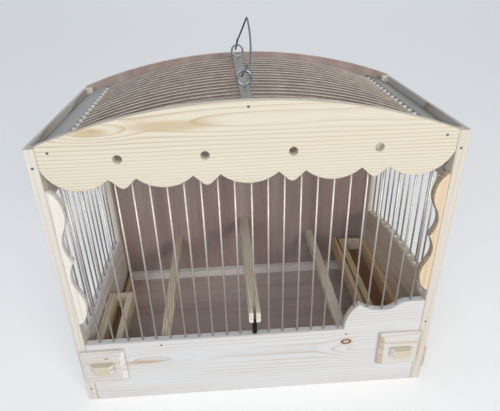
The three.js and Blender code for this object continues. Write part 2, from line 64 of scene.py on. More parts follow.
def addNode(material, kind, settings=None, links=None):
    node = material.node_tree.nodes.new(kind)
    for key, value in (settings or {}).items():
        if isinstance(key, str) and hasattr(node, key):
            setattr(node, key, value)
        else:
            node.inputs[key].default_value = value
    for key, source in (links or {}).items():
        material.node_tree.links.new(source, node.inputs[key])
    return node


def rampStops(node, stops):
    ramp = node.color_ramp
    while len(ramp.elements) < len(stops):
        ramp.elements.new(1.0)
    for element, (position, colour) in zip(ramp.elements, stops):
        element.position = position
        element.color = linear(colour) if isinstance(colour, str) else (colour, colour, colour, 1.0)
    return node


def emptyMaterial(name):
    material = bpy.data.materials.new(name)
    material.use_nodes = True
    material.node_tree.nodes.clear()
    return material


# Turns that bring the grain of a board onto Z, and the direction of the grain itself.
grainTurns = {"x": (0, -math.pi / 2, 0), "y": (math.pi / 2, 0, 0), "z": (0, 0, 0)}
grainAxes = {"x": (1, 0, 0), "y": (0, 1, 0), "z": (0, 0, 1)}


# The way from a mark on the board, and how far that is, where 1 is the mark's own edge.
def distanceFrom(material, where, mark):
    apart = addNode(material, "ShaderNodeVectorMath",
                    {"operation": "SUBTRACT", 1: [v * mm for v in mark["at"]]}, {0: where})
    scaled = addNode(material, "ShaderNodeVectorMath",
                     {"operation": "MULTIPLY", 1: [1 / (v * mm) if v else 0 for v in mark["size"]]},
                     {0: apart.outputs[0]})
    far = addNode(material, "ShaderNodeVectorMath", {"operation": "LENGTH"}, {0: scaled.outputs[0]})
    return apart.outputs[0], far.outputs["Value"]


# What holds for a pine board unless its own look says otherwise. The saw's ticks are about 1 mm apart.
pineUsual = {"middle": None, "tilt": (0.3, 0.2, 0), "stretch": 0.1, "ringMm": 3.4, "wander": 7.0,
             "wanderScale": 0.5, "lateWidth": 0.3, "faintest": 0.1, "strongest": 1.0, "fadeMm": 26,
             "blotchMm": 55, "fibre": 0.05, "fibreMm": 0.9, "ovals": [], "patches": [], "knot": None,
             "sawnFace": None, "sawnTint": "#e2d6c2", "tick": "#c9b89d", "ticks": (0.12, 0.12, 1),
             "tickMm": 1.1}


# Pine off the planer, unvarnished: pale early wood with thin tan late-wood lines that run into
# arches on flat-sawn faces and stay straight on edges, a dry silky sheen, a faint fibre.
# Faces sawn across the grain, or those that sawnFace picks, get the sawn tint and the saw's short ticks; on
# the brackets and drawer fronts that tint also carries painted light on the left and painted shade on the
# right.
def planedPine(name, given):
    look = {**pineUsual, **given}
    material = emptyMaterial(name)
    place = addNode(material, "ShaderNodeTexCoord")
    spot = place.outputs["Object"]
    where = spot
    # The grain closes into long ovals where a ring comes up to the face.
    for oval in look["ovals"]:
        ovalFar = distanceFrom(material, spot, oval)[1]
        lift = addNode(material, "ShaderNodeMapRange",
                       {"From Min": 0.0, "From Max": 1.0, "To Min": oval["lift"] * mm, "To Max": 0.0,
                        "interpolation_type": "SMOOTHSTEP"}, {"Value": ovalFar})
        raised = addNode(material, "ShaderNodeVectorMath", {"operation": "SCALE", 0: (0, 1, 0)},
                         {"Scale": lift.outputs[0]})
        lifted = addNode(material, "ShaderNodeVectorMath", {"operation": "ADD"},
                         {0: where, 1: raised.outputs[0]})
        where = lifted.outputs[0]
    knot = look["knot"]
    if knot:
        # Grain bends round the knot, so the pattern is pushed outwards from its middle.
        fromKnot, knotFar = distanceFrom(material, spot, knot)
        push = addNode(material, "ShaderNodeMapRange",
                       {"From Min": 0.0, "From Max": 5.0, "To Min": -0.75, "To Max": 0.0,
                        "interpolation_type": "SMOOTHSTEP"}, {"Value": knotFar})
        pushed = addNode(material, "ShaderNodeVectorMath", {"operation": "SCALE"},
                         {0: fromKnot, "Scale": push.outputs[0]})
        bent = addNode(material, "ShaderNodeVectorMath", {"operation": "ADD"},
                       {0: where, 1: pushed.outputs[0]})
        where = bent.outputs[0]
    # The heart of the tree lies beside or behind the board's middle, a little out of line with it.
    low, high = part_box(look["of"])
    middle = [(a + b) / 2 for a, b in zip(low, high)]
    if look["middle"]:
        middle = [v * mm for v in look["middle"]]
    centred = addNode(material, "ShaderNodeVectorMath", {"operation": "SUBTRACT", 1: middle}, {0: where})
    turned = addNode(material, "ShaderNodeMapping", {"Rotation": grainTurns[look["grain"]]},
                     {"Vector": centred.outputs[0]})
    drawn = addNode(material, "ShaderNodeMapping",
                    {"Scale": (1, 1, look["stretch"]), "Rotation": look["tilt"],
                     "Location": [v * mm for v in look["heart"]]},
                    {"Vector": turned.outputs[0]})
    # A wave ring of scale 1 is 0.314 m wide.
    rings = addNode(material, "ShaderNodeTexWave",
                    {"wave_type": "RINGS", "rings_direction": "Z", "wave_profile": "SAW",
                     "Scale": 0.314 / (look["ringMm"] * mm), "Distortion": look["wander"], "Detail": 2.0,
                     "Detail Scale": look["wanderScale"], "Detail Roughness": 0.5},
                    {"Vector": drawn.outputs[0]})
    late = look["lateWidth"]
    lateWood = rampStops(addNode(material, "ShaderNodeValToRGB", {}, {"Fac": rings.outputs["Fac"]}),
                         [(0.0, 0.15), (0.1, 0.0), (1 - late * 1.8, 0.03), (1 - late * 0.6, 0.45),
                          (0.94, 1.0)])
    # Late wood comes and goes along the board.
    fade = addNode(material, "ShaderNodeTexNoise", {"Scale": 1 / (look["fadeMm"] * mm), "Detail": 2.0},
                   {"Vector": drawn.outputs[0]})
    fadeRange = addNode(material, "ShaderNodeMapRange",
                        {"From Min": 0.34, "From Max": 0.66, "To Min": look["faintest"],
                         "To Max": look["strongest"]},
                        {"Value": fade.outputs["Fac"]})
    lateAmount = addNode(material, "ShaderNodeMath", {"operation": "MULTIPLY"},
                         {0: lateWood.outputs["Color"], 1: fadeRange.outputs[0]})
    # Fibre is really 0.05 mm wide. It is drawn 0.45 mm wide, so that it shows at all.
    fibrePlace = addNode(material, "ShaderNodeMapping", {"Scale": (1, 1, 0.018)},
                         {"Vector": turned.outputs[0]})
    fibre = addNode(material, "ShaderNodeTexNoise",
                    {"Scale": 1 / (look["fibreMm"] * mm), "Detail": 3.0, "Roughness": 0.6},
                    {"Vector": fibrePlace.outputs[0]})
    blotch = addNode(material, "ShaderNodeTexNoise", {"Scale": 1 / (look["blotchMm"] * mm), "Detail": 2.0},
                     {"Vector": drawn.outputs[0]})
    early = addNode(material, "ShaderNodeMix",
                    {"data_type": "RGBA", 6: linear(look["early"]), 7: linear(look["warm"])},
                    {0: blotch.outputs["Fac"]})
    wood = addNode(material, "ShaderNodeMix",
                   {"data_type": "RGBA", 7: linear(look["late"])},
                   {0: lateAmount.outputs[0], 6: early.outputs[2]})
    fibreShade = addNode(material, "ShaderNodeMapRange",
                         {"From Min": 0.3, "From Max": 0.7, "To Min": 1 - look["fibre"], "To Max": 1.0},
                         {"Value": fibre.outputs["Fac"]})
    colour = addNode(material, "ShaderNodeMix", {"data_type": "RGBA", "blend_type": "MULTIPLY", 0: 1.0},
                     {6: wood.outputs[2], 7: fibreShade.outputs[0]})
    result = colour.outputs[2]
    # Where a late ring lies flush with the face it shows as a broad tan patch.
    for patch in look["patches"]:
        patchFar = distanceFrom(material, spot, patch)[1]
        ragged = addNode(material, "ShaderNodeMath", {"operation": "MULTIPLY_ADD", 1: 1.1},
                         {0: fade.outputs["Fac"], 2: patchFar})
        inside = addNode(material, "ShaderNodeMapRange",
                         {"From Min": 0.9, "From Max": 1.7, "To Min": patch["amount"], "To Max": 0.0,
                          "interpolation_type": "SMOOTHSTEP"}, {"Value": ragged.outputs[0]})
        stained = addNode(material, "ShaderNodeMix", {"data_type": "RGBA", 7: linear(look["late"])},
                          {0: inside.outputs[0], 6: result})
        result = stained.outputs[2]
    if knot:
        ringMark = rampStops(addNode(material, "ShaderNodeValToRGB", {}, {"Fac": knotFar}), knot["rings"])
        knotEdge = addNode(material, "ShaderNodeMapRange",
                           {"From Min": 0.95, "From Max": 1.7, "To Min": 1.0, "To Max": 0.0},
                           {"Value": knotFar})
        marked = addNode(material, "ShaderNodeMix", {"data_type": "RGBA"},
                         {0: knotEdge.outputs[0], 6: result, 7: ringMark.outputs["Color"]})
        result = marked.outputs[2]
    facing = addNode(material, "ShaderNodeVectorMath",
                     {"operation": "DOT_PRODUCT", 1: look["sawnFace"] or grainAxes[look["grain"]]},
                     {0: place.outputs["Normal"]})
    endOn = addNode(material, "ShaderNodeMath", {"operation": "ABSOLUTE"}, {0: facing.outputs["Value"]})
    sawn = addNode(material, "ShaderNodeMapRange", {"From Min": 0.48, "From Max": 0.62},
                   {"Value": endOn.outputs[0]})
    tickPlace = addNode(material, "ShaderNodeMapping", {"Scale": look["ticks"]}, {"Vector": spot})
    ticks = addNode(material, "ShaderNodeTexNoise", {"Scale": 1 / (look["tickMm"] * mm), "Detail": 1.0},
                    {"Vector": tickPlace.outputs[0]})
    tickShade = rampStops(addNode(material, "ShaderNodeValToRGB", {}, {"Fac": ticks.outputs["Fac"]}),
                          [(0.38, look["tick"]), (0.5, look["sawnTint"])])
    sawnAmount = addNode(material, "ShaderNodeMath", {"operation": "MULTIPLY", 1: 0.8}, {0: sawn.outputs[0]})
    cutFace = addNode(material, "ShaderNodeMix", {"data_type": "RGBA"},
                      {0: sawnAmount.outputs[0], 6: result, 7: tickShade.outputs["Color"]})
    tickDepth = addNode(material, "ShaderNodeMath", {"operation": "MULTIPLY"},
                        {0: sawn.outputs[0], 1: ticks.outputs["Fac"]})
    height = addNode(material, "ShaderNodeMath", {"operation": "MULTIPLY_ADD", 1: 0.6},
                     {0: fibre.outputs["Fac"], 2: lateAmount.outputs[0]})
    roughened = addNode(material, "ShaderNodeMath", {"operation": "MULTIPLY_ADD", 1: 2.5},
                        {0: tickDepth.outputs[0], 2: height.outputs[0]})
    bump = addNode(material, "ShaderNodeBump", {"Strength": 0.35, "Distance": 0.12 * mm},
                   {"Height": roughened.outputs[0]})
    rough = addNode(material, "ShaderNodeMapRange", {"To Min": 0.62, "To Max": 0.5},
                    {"Value": lateAmount.outputs[0]})
    shader = addNode(material, "ShaderNodeBsdfPrincipled", {"IOR": 1.5, "Specular IOR Level": 0.35},
                     {"Base Color": cutFace.outputs[2], "Roughness": rough.outputs[0],
                      "Normal": bump.outputs[0]})
    addNode(material, "ShaderNodeOutputMaterial", {}, {"Surface": shader.outputs[0]})
    return material


# Meranti-faced plywood, raw: reddish mauve-brown, short dark pores along the grain, broad soft
# stripes where the veneer was peeled.
def merantiPlywood(name, look):
    material = emptyMaterial(name)
    place = addNode(material, "ShaderNodeTexCoord")
    turned = addNode(material, "ShaderNodeMapping", {"Rotation": grainTurns[look["grain"]]},
                     {"Vector": place.outputs["Object"]})
    stripePlace = addNode(material, "ShaderNodeMapping", {"Scale": (1, 1, 0.05)},
                          {"Vector": turned.outputs[0]})
    stripes = addNode(material, "ShaderNodeTexNoise", {"Scale": 1 / (look["stripeMm"] * mm), "Detail": 3.0},
                      {"Vector": stripePlace.outputs[0]})
    broad = rampStops(addNode(material, "ShaderNodeValToRGB", {}, {"Fac": stripes.outputs["Fac"]}),
                      [(0.3, look["dark"]), (0.5, look["mid"]), (0.72, look["light"])])
    # Pores are about 0.3 mm wide and 3 mm long. Drawn 0.8 mm wide.
    porePlace = addNode(material, "ShaderNodeMapping", {"Scale": (1, 1, 0.09)}, {"Vector": turned.outputs[0]})
    pores = addNode(material, "ShaderNodeTexNoise", {"Scale": 1 / (1.3 * mm), "Detail": 2.0},
                    {"Vector": porePlace.outputs[0]})
    poreMask = addNode(material, "ShaderNodeMapRange",
                       {"From Min": 0.56, "From Max": 0.7, "To Min": 1.0, "To Max": 0.84},
                       {"Value": pores.outputs["Fac"]})
    veneer = addNode(material, "ShaderNodeMix", {"data_type": "RGBA", "blend_type": "MULTIPLY", 0: 1.0},
                     {6: broad.outputs["Color"], 7: poreMask.outputs[0]})
    # The sawn edge shows the core between the two faces.
    faceNormal = {"z": (0, 1, 0), "x": (0, 0, 1), "y": (0, 0, 1)}[look["grain"]]
    facing = addNode(material, "ShaderNodeVectorMath", {"operation": "DOT_PRODUCT", 1: faceNormal},
                     {0: place.outputs["Normal"]})
    flatOn = addNode(material, "ShaderNodeMath", {"operation": "ABSOLUTE"}, {0: facing.outputs["Value"]})
    edgeOn = addNode(material, "ShaderNodeMapRange",
                     {"From Min": 0.4, "From Max": 0.7, "To Min": 1.0, "To Max": 0.0},
                     {"Value": flatOn.outputs[0]})
    core = addNode(material, "ShaderNodeMix", {"data_type": "RGBA", "blend_type": "MULTIPLY", 0: 1.0,
                                               6: linear(look["edge"])}, {7: poreMask.outputs[0]})
    colour = addNode(material, "ShaderNodeMix", {"data_type": "RGBA"},
                     {0: edgeOn.outputs[0], 6: veneer.outputs[2], 7: core.outputs[2]})
    bump = addNode(material, "ShaderNodeBump", {"Strength": 0.4, "Distance": 0.1 * mm},
                   {"Height": poreMask.outputs[0]})
    shader = addNode(material, "ShaderNodeBsdfPrincipled",
                     {"IOR": 1.5, "Roughness": 0.58, "Specular IOR Level": 0.4},
                     {"Base Color": colour.outputs[2], "Normal": bump.outputs[0]})
    addNode(material, "ShaderNodeOutputMaterial", {}, {"Surface": shader.outputs[0]})
    return material


# Zinc-plated steel wire: grey metal, dulled in patches, with a fine unevenness.
def zincPlatedSteel(name, look):
    material = emptyMaterial(name)
    place = addNode(material, "ShaderNodeTexCoord")
    patches = addNode(material, "ShaderNodeTexNoise", {"Scale": 1 / (look["patchMm"] * mm), "Detail": 3.0},
                      {"Vector": place.outputs["Object"]})
    colour = addNode(material, "ShaderNodeMix",
                     {"data_type": "RGBA", 6: linear(look["bright"]), 7: linear(look["dull"])},
                     {0: patches.outputs["Fac"]})
    rough = addNode(material, "ShaderNodeMapRange",
                    {"To Min": look["rough"] - 0.08, "To Max": look["rough"] + 0.12},
                    {"Value": patches.outputs["Fac"]})
    fine = addNode(material, "ShaderNodeTexNoise", {"Scale": 1 / (0.5 * mm), "Detail": 2.0},
                   {"Vector": place.outputs["Object"]})
    bump = addNode(material, "ShaderNodeBump", {"Strength": 0.15, "Distance": 0.04 * mm},
                   {"Height": fine.outputs["Fac"]})
    shader = addNode(material, "ShaderNodeBsdfPrincipled", {"Metallic": 1.0},
                     {"Base Color": colour.outputs[2], "Roughness": rough.outputs[0],
                      "Normal": bump.outputs[0]})
    addNode(material, "ShaderNodeOutputMaterial", {}, {"Surface": shader.outputs[0]})
    return material


# Black rubber tube, the painted shade of a drilled hole round a wire, and the dark ring round a nail's head
# and a dark nail head.
def mattDark(name, look):
    material = emptyMaterial(name)
    place = addNode(material, "ShaderNodeTexCoord")
    speck = addNode(material, "ShaderNodeTexNoise", {"Scale": 1 / (look["grainMm"] * mm), "Detail": 3.0},
                    {"Vector": place.outputs["Object"]})
    colour = addNode(material, "ShaderNodeMix",
                     {"data_type": "RGBA", 6: linear(look["deep"]), 7: linear(look["pale"])},
                     {0: speck.outputs["Fac"]})
    bump = addNode(material, "ShaderNodeBump", {"Strength": 0.3, "Distance": 0.05 * mm},
                   {"Height": speck.outputs["Fac"]})
    shader = addNode(material, "ShaderNodeBsdfPrincipled", {"IOR": look["ior"], "Roughness": look["rough"]},
                     {"Base Color": colour.outputs[2], "Normal": bump.outputs[0]})
    addNode(material, "ShaderNodeOutputMaterial", {}, {"Surface": shader.outputs[0]})
    return material


knotRings = [(0.0, "#c8aa96"), (0.5, "#d3b8a4"), (0.62, "#7d5a4a"), (0.84, "#4f352c"), (1.0, "#e3cdb0")]
finishes = {
    "headerPine": planedPine("planedPineHeader", {
        "of": "front_header", "middle": (0, -107, 300), "grain": "x", "early": "#ebe3d2", "warm": "#e8dabf",
        "late": "#c6ab7c", "ringMm": 2.8, "heart": (20, 21.4, 41), "tilt": (0.1, 0.05, 0), "stretch": 0.14,
        "wander": 6, "wanderScale": 0.2, "lateWidth": 0.24, "faintest": 0.42, "strongest": 0.95, "fadeMm": 34,
        "patches": [{"at": (-68, -111, 317), "size": (44, 0, 6), "amount": 0.6},
                    {"at": (-133, -111, 314), "size": (19, 0, 5), "amount": 0.7}],
        "ovals": [{"at": (-131, -111, 314), "size": (52, 0, 13), "lift": -6},
                  {"at": (-4, -111, 321), "size": (100, 0, 22), "lift": -2.6}]}),
    # The early wood is a cool near-white: partly the pine, partly painted bluish reflected light.
    "bottomPine": planedPine("planedPineBottomBoard", {
        "of": "front_bottom_board", "grain": "x", "early": "#e7e7e5", "warm": "#e2ddd7", "late": "#c6aa8c",
        "ringMm": 3.9, "heart": (0, 23.3, 0), "tilt": (0.06, -0.04, 0), "stretch": 0.12, "wander": 8,
        "wanderScale": 0.2, "lateWidth": 0.22, "faintest": 0.08, "strongest": 0.7,
        "patches": [{"at": (-123, -111, 53), "size": (34, 0, 4), "amount": 0.85}],
        "ovals": [{"at": (-116, -111, 53), "size": (84, 0, 26), "lift": -11},
                  {"at": (126, -111, 52), "size": (66, 0, 26), "lift": -9}],
        "knot": {"at": (99.5, -111, 64.3), "size": (6.2, 0, 4.0), "rings": knotRings}}),
    "stilePine": planedPine("planedPineStile", {
        "of": "front_stile_left", "grain": "z", "early": "#e9e4da", "warm": "#e5dccb", "late": "#ccb28d",
        "ringMm": 2.8, "heart": (40, 60, 0), "wander": 3, "strongest": 0.55}),
    # A slightly darker copy of the stile pine: painted shade on the right stile.
    "shadedStilePine": planedPine("planedPineStileShaded", {
        "of": "front_stile_right", "grain": "z", "early": "#e4e0d8", "warm": "#e2d6c3", "late": "#cbae86",
        "ringMm": 2.8, "heart": (30, 50, 0), "wander": 3, "strongest": 0.6}),
    # The side-facing edges are painted near-white: painted light.
    "whiteBracketPine": planedPine("planedPineBracketWhite", {
        "of": "bracket_left", "grain": "z", "early": "#f5f1e9", "warm": "#f2e9d8", "late": "#dcc8a6",
        "ringMm": 4.0, "heart": (30, 40, 20), "wander": 5, "strongest": 0.7, "sawnFace": (1, 0, 0),
        "sawnTint": "#fcfbf9", "tick": "#e6dfd3", "ticks": (0.2, 0.2, 1)}),
    # The side-facing edges are painted brown with dark ticks: painted shade.
    "peachBracketPine": planedPine("planedPineBracketPeach", {
        "of": "bracket_right", "grain": "z", "early": "#ecdcc2", "warm": "#ebcfa5", "late": "#d8a873",
        "ringMm": 4.4, "heart": (30, 40, 20), "wander": 6, "strongest": 0.7, "sawnFace": (1, 0, 0),
        "sawnTint": "#cdb493", "tick": "#9c8262", "ticks": (0.2, 0.2, 1)}),
    "railPine": planedPine("planedPineRail", {
        "of": "side_rail_right", "middle": (0, -3, 276), "grain": "y", "early": "#dedad3", "warm": "#d8d0c4",
        "late": "#b9a082", "ringMm": 3.6, "heart": (36, 12, 0), "tilt": (0.4, 0.3, 0), "wander": 6}),
    # The right board is warmer and browner: partly the wood, partly painted warm shade on its inner face.
    "sideBoardPine": planedPine("planedPineSideBoard", {
        "of": "side_board_right", "grain": "y", "early": "#dccdbb", "warm": "#d2bea6", "late": "#a98764",
        "ringMm": 4.4, "heart": (24, 8, 0), "tilt": (0.4, 0.2, 0), "wander": 8, "wanderScale": 0.3}),
    # A whiter copy for the left board: painted light on its inner face, which is lit from the right.
    "whiteSideBoardPine": planedPine("planedPineSideBoardWhite", {
        "of": "side_board_left", "grain": "y", "early": "#efede9", "warm": "#e7e2d9", "late": "#c9b292",
        "ringMm": 4.4, "heart": (24, 8, 0), "tilt": (0.4, 0.2, 0), "wander": 8, "wanderScale": 0.3}),
    # The slat pine is painted a dim grey-blue: painted shade and painted bluish skylight on upward faces.
    "paintedShadeSlatPine": planedPine("planedPineSlat", {
        "of": "roof_slat_left", "grain": "y", "early": "#c6c8c7", "warm": "#bfbdb7", "late": "#a39482",
        "ringMm": 2.8, "heart": (50, 40, 0), "wander": 4}),
    # A darker copy for the right slat and the ridge bar: deeper painted shade.
    "shadedSlatPine": planedPine("planedPineSlatShaded", {
        "of": "roof_slat_right", "grain": "y", "early": "#a3a19b", "warm": "#9a958b", "late": "#807360",
        "ringMm": 2.8, "heart": (40, 36, 0), "wander": 4}),
    "perchPine": planedPine("planedPinePerch", {
        "of": "centre_perch", "grain": "y", "early": "#ebe2d1", "warm": "#dfcdae", "late": "#a07f56",
        "ringMm": 2.6, "heart": (6, 7, 0), "tilt": (0.24, 0.2, 0), "stretch": 0.12, "wander": 6,
        "wanderScale": 0.35, "lateWidth": 0.36, "sawnTint": "#f0ebe1", "tick": "#cdbda3"}),
    "drawerWallPine": planedPine("planedPineDrawerWall", {
        "of": "right_drawer_side_left", "grain": "y", "early": "#e0cca6", "warm": "#d4b688",
        "late": "#ab8352", "ringMm": 3.0, "heart": (20, 40, 0), "wander": 4}),
    "paleDrawerWallPine": planedPine("planedPineDrawerWallPale", {
        "of": "left_drawer_side_left", "grain": "y", "early": "#e8dfca", "warm": "#e3cfa9", "late": "#bd9966",
        "ringMm": 3.4, "heart": (18, 30, 0), "wander": 4}),
    # The end-grain bevels are painted tan with brown ticks: painted shade.
    "drawerFrontPine": planedPine("planedPineDrawerFront", {
        "of": "right_drawer_front", "grain": "x", "early": "#e9e6e1", "warm": "#e3dbcf", "late": "#c8af92",
        "ringMm": 3.4, "heart": (26, 30, 0), "wander": 5, "lateWidth": 0.24, "strongest": 0.75,
        "sawnTint": "#e0ccae", "tick": "#bd9f79", "ticks": (0.15, 0.15, 1)}),
    # The end-grain bevels are painted near-white: partly the pale end grain, partly painted light.
    "knottyDrawerFrontPine": planedPine("planedPineDrawerFrontKnotty", {
        "of": "left_drawer_front", "grain": "x", "early": "#e6e2dc", "warm": "#ded4c6", "late": "#bda486",
        "ringMm": 3.2, "heart": (14, 18, 0), "wander": 6, "lateWidth": 0.26, "strongest": 0.8,
        "sawnTint": "#fcfbf9", "tick": "#dfd9ce", "ticks": (0.15, 0.15, 1),
        "knot": {"at": (-158.3, -118, 68.6), "size": (2.6, 0, 0.9),
                 "rings": [(0.0, "#8d7767"), (0.5, "#9c8777"), (0.8, "#b9a48f"), (1.0, "#dccbb4")]}}),
    "knobPine": planedPine("planedPineKnob", {
        "of": "left_drawer_knob", "grain": "x", "early": "#e5dcc8", "warm": "#dccdae", "late": "#b9986a",
        "ringMm": 2.0, "heart": (20, 20, 0), "wander": 3, "sawnTint": "#f2efe8"}),
    "trayPine": planedPine("planedPineTrayRim", {
        "of": "tray_rim_back", "grain": "x", "early": "#f4f2ee", "warm": "#ece6dd", "late": "#c9b194",
        "ringMm": 2.8, "heart": (30, 30, 0), "wander": 4}),
    "backPlywood": merantiPlywood("merantiPlywoodBack", {
        "grain": "z", "dark": "#96817a", "mid": "#a38e86", "light": "#b29f97", "edge": "#ecd0c0",
        "stripeMm": 22}),
    "trayPlywood": merantiPlywood("merantiPlywoodTray", {
        "grain": "x", "dark": "#bba59b", "mid": "#cfbbb1", "light": "#dac8be", "edge": "#cdb29d",
        "stripeMm": 30}),
    "drawerPlywood": merantiPlywood("merantiPlywoodDrawer", {
        "grain": "y", "dark": "#7d5c44", "mid": "#8d6a50", "light": "#9d7a5e", "edge": "#c6a88a",
        "stripeMm": 22}),
    "wireZinc": zincPlatedSteel("zincPlatedCageWire", {
        "bright": "#dcd7ce", "dull": "#b5afa5", "patchMm": 9, "rough": 0.5}),
    # Brownish grey: painted reflection of dark surroundings and wood.
    "roofWireZincPaintedReflection": zincPlatedSteel("zincPlatedRoofWirePaintedReflection", {
        "bright": "#bdb3a8", "dull": "#938a80", "patchMm": 12, "rough": 0.55}),
    # Dark and bluish: painted reflection of dark bluish surroundings.
    "eyeZincPaintedReflection": zincPlatedSteel("zincPlatedEyeScrewPaintedReflection", {
        "bright": "#a3b1ba", "dull": "#66747d", "patchMm": 4, "rough": 0.3}),
    # Dark grey: painted reflection of dark surroundings.
    "bailZincPaintedReflection": zincPlatedSteel("zincPlatedBailWirePaintedReflection", {
        "bright": "#8c9295", "dull": "#5e6468", "patchMm": 6, "rough": 0.36}),
    "tornPine": planedPine("tornPineBurr", {
        "of": "roof_slat_left", "grain": "y", "early": "#f3f1ed", "warm": "#ebe6dd", "late": "#d8cdbb",
        "ringMm": 2.0, "heart": (50, 40, 0), "wander": 4, "sawnFace": (1, 0, 0), "sawnTint": "#f3f0ea"}),
    "sleeveRubber": mattDark("blackRubberTube", {
        "deep": "#050506", "pale": "#0f1012", "grainMm": 0.8, "ior": 1.3, "rough": 0.55}),
    # Dark brown discs round the wires: painted shade of the drilled holes.
    "holeShade": mattDark("drilledHoleShade", {
        "deep": "#5a4a3c", "pale": "#7d6a58", "grainMm": 0.7, "ior": 1.45, "rough": 0.8}),
    # The dark ring round each nail head, and one dark nail head.
    "nailDark": mattDark("darkNailMarkPine", {
        "deep": "#4a4038", "pale": "#74675a", "grainMm": 0.5, "ior": 1.45, "rough": 0.8}),
}
print("materials made:", len(finishes))


# Wooden pieces: every edge eased, as sanding leaves it.
def rideAs(piece, nodeName, finish):
    piece.data.materials.append(finishes[finish])
    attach(piece, bodyOf[nodeName])
    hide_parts(nodeName)


def objectFrom(name, mesh):
    data = bpy.data.meshes.new(name)
    mesh.to_mesh(data)
    mesh.free()
    piece = bpy.data.objects.new(name, data)
    bpy.context.scene.collection.objects.link(piece)
    return piece


# In degrees: faces that meet at less than "joined" become one, faces that meet at more than "curved"
# are parts of a curve, and an edge from "sharp" on is rounded. The weld is in metres.
easing = {"joined": 0.7, "curved": 0.8, "sharp": 28, "perchSharp": 40, "segments": 2, "weld": 1e-6}


# Rounds the sharp edges. Only rounded and curved faces are shaded smooth.
def easeEdges(mesh, edge, sharper=easing["sharp"]):
    between = [(e, e.calc_face_angle(0)) for e in mesh.edges if len(e.link_faces) == 2]
    curved = [e for e, angle in between if math.radians(easing["curved"]) < angle < math.radians(sharper)]
    sharp = [e for e, angle in between if angle >= math.radians(sharper)]
    for face in [f for e in curved for f in e.link_faces]:
        face.smooth = True
    made = bmesh.ops.bevel(mesh, geom=sharp, offset=edge * mm, offset_type="OFFSET",
                           segments=easing["segments"], profile=0.5, affect="EDGES", clamp_overlap=False,
                           material=-1)
    for face in made["faces"]:
        face.smooth = True


# Where the wires stand. Lengths in the dictionaries are in mm where nothing else is said.
cage = {"pitch": 15, "frontEach": 11, "sideEach": 6, "wireY": -107, "sideMid": -2.65, "sideWireX": 185,
        "wireTop": 284, "railFoot": 250, "wireReach": 1.06}
frontWireXs = [i * cage["pitch"] for i in range(-cage["frontEach"], cage["frontEach"] + 1)]
sideWireYs = [cage["sideMid"] + i * cage["pitch"] for i in range(-cage["sideEach"], cage["sideEach"] + 1)]


# The wires leave a board's copy, since they are pieces of their own.
def withoutWires(mesh, wires):
    alongWire = set(v for v in mesh.verts for x, y in wires
                    if math.hypot(v.co.x - x * mm, v.co.y - y * mm) < cage["wireReach"] * mm)
    gone = [f for f in mesh.faces if all(v in alongWire for v in f.verts)]
    bmesh.ops.delete(mesh, geom=gone, context="FACES")
    loose = [v for v in mesh.verts if not v.link_faces]
    bmesh.ops.delete(mesh, geom=loose, context="VERTS")
    bmesh.ops.holes_fill(mesh, edges=[e for e in mesh.edges if e.is_boundary], sides=0)


def easedCopy(nodeName, finish, edge, wires=None, sharper=easing["sharp"]):
    mesh = bmesh.new()
    mesh.from_mesh(nodes[nodeName].data)
    bmesh.ops.remove_doubles(mesh, verts=mesh.verts[:], dist=easing["weld"])
    if wires:
        withoutWires(mesh, wires)
    bmesh.ops.dissolve_limit(mesh, angle_limit=math.radians(easing["joined"]), verts=mesh.verts[:],
                             edges=mesh.edges[:])
    easeEdges(mesh, edge, sharper)
    parts = nodeName.split("_")
    rideAs(objectFrom(parts[0] + "".join(p.capitalize() for p in parts[1:]), mesh), nodeName, finish)


# The two sides get different finishes. The left board and the edges of the left bracket and drawer front
# carry painted light; the right board, the right stile and the edges of the right bracket and drawer front
# carry painted shade, and the right slat a deeper painted shade than the left. The drawer walls and bracket
# faces are simply coloured differently.
sideFinishes = {
    "left": {"board": "whiteSideBoardPine", "stile": "stilePine", "bracket": "whiteBracketPine",
             "slat": "paintedShadeSlatPine", "front": "knottyDrawerFrontPine", "wall": "paleDrawerWallPine"},
    "right": {"board": "sideBoardPine", "stile": "shadedStilePine", "bracket": "peachBracketPine",
              "slat": "shadedSlatPine", "front": "drawerFrontPine", "wall": "drawerWallPine"}}

easedCopy("front_header", "headerPine", 0.45, [(x, cage["wireY"]) for x in frontWireXs])
easedCopy("front_bottom_board", "bottomPine", 0.5)
for side, sign in (("left", -1), ("right", 1)):
    pine = sideFinishes[side]
    easedCopy(f"side_rail_{side}", "railPine", 0.5, [(sign * cage["sideWireX"], y) for y in sideWireYs])
    easedCopy(f"side_board_{side}", pine["board"], 0.5)
    easedCopy(f"front_stile_{side}", pine["stile"], 0.6)
    easedCopy(f"rear_stile_{side}", "stilePine", 0.6)
    easedCopy(f"bracket_{side}", pine["bracket"], 0.4)
    easedCopy(f"roof_slat_{side}", pine["slat"], 0.4)
    easedCopy(f"lower_perch_{side}", "perchPine", 0.35, sharper=easing["perchSharp"])
    easedCopy(f"{side}_drawer_front", pine["front"], 0.35)
    easedCopy(f"{side}_drawer_knob", "knobPine", 0.5)
    easedCopy(f"{side}_drawer_bottom", "drawerPlywood", 0.2)
    for wall in ("side_left", "side_right", "back"):
        easedCopy(f"{side}_drawer_{wall}", pine["wall"], 0.35)
easedCopy("centre_perch", "perchPine", 0.35, sharper=easing["perchSharp"])
for nodeName, finish, edge in (
        ("back_panel", "backPlywood", 0.3), ("base_board", "trayPlywood", 0.3),
        ("drawer_shelf_left", "drawerPlywood", 0.3), ("drawer_guide_right", "drawerWallPine", 0.4),
        ("drawer_runner_right", "drawerWallPine", 0.4), ("tray_bottom", "trayPlywood", 0.3),
        ("tray_rim_front", "trayPine", 0.4), ("tray_rim_back", "trayPine", 0.4),
        ("tray_rim_left", "drawerWallPine", 0.4), ("tray_front", "sideBoardPine", 0.4),
        ("tray_knob", "knobPine", 0.5)):
    easedCopy(nodeName, finish, edge)
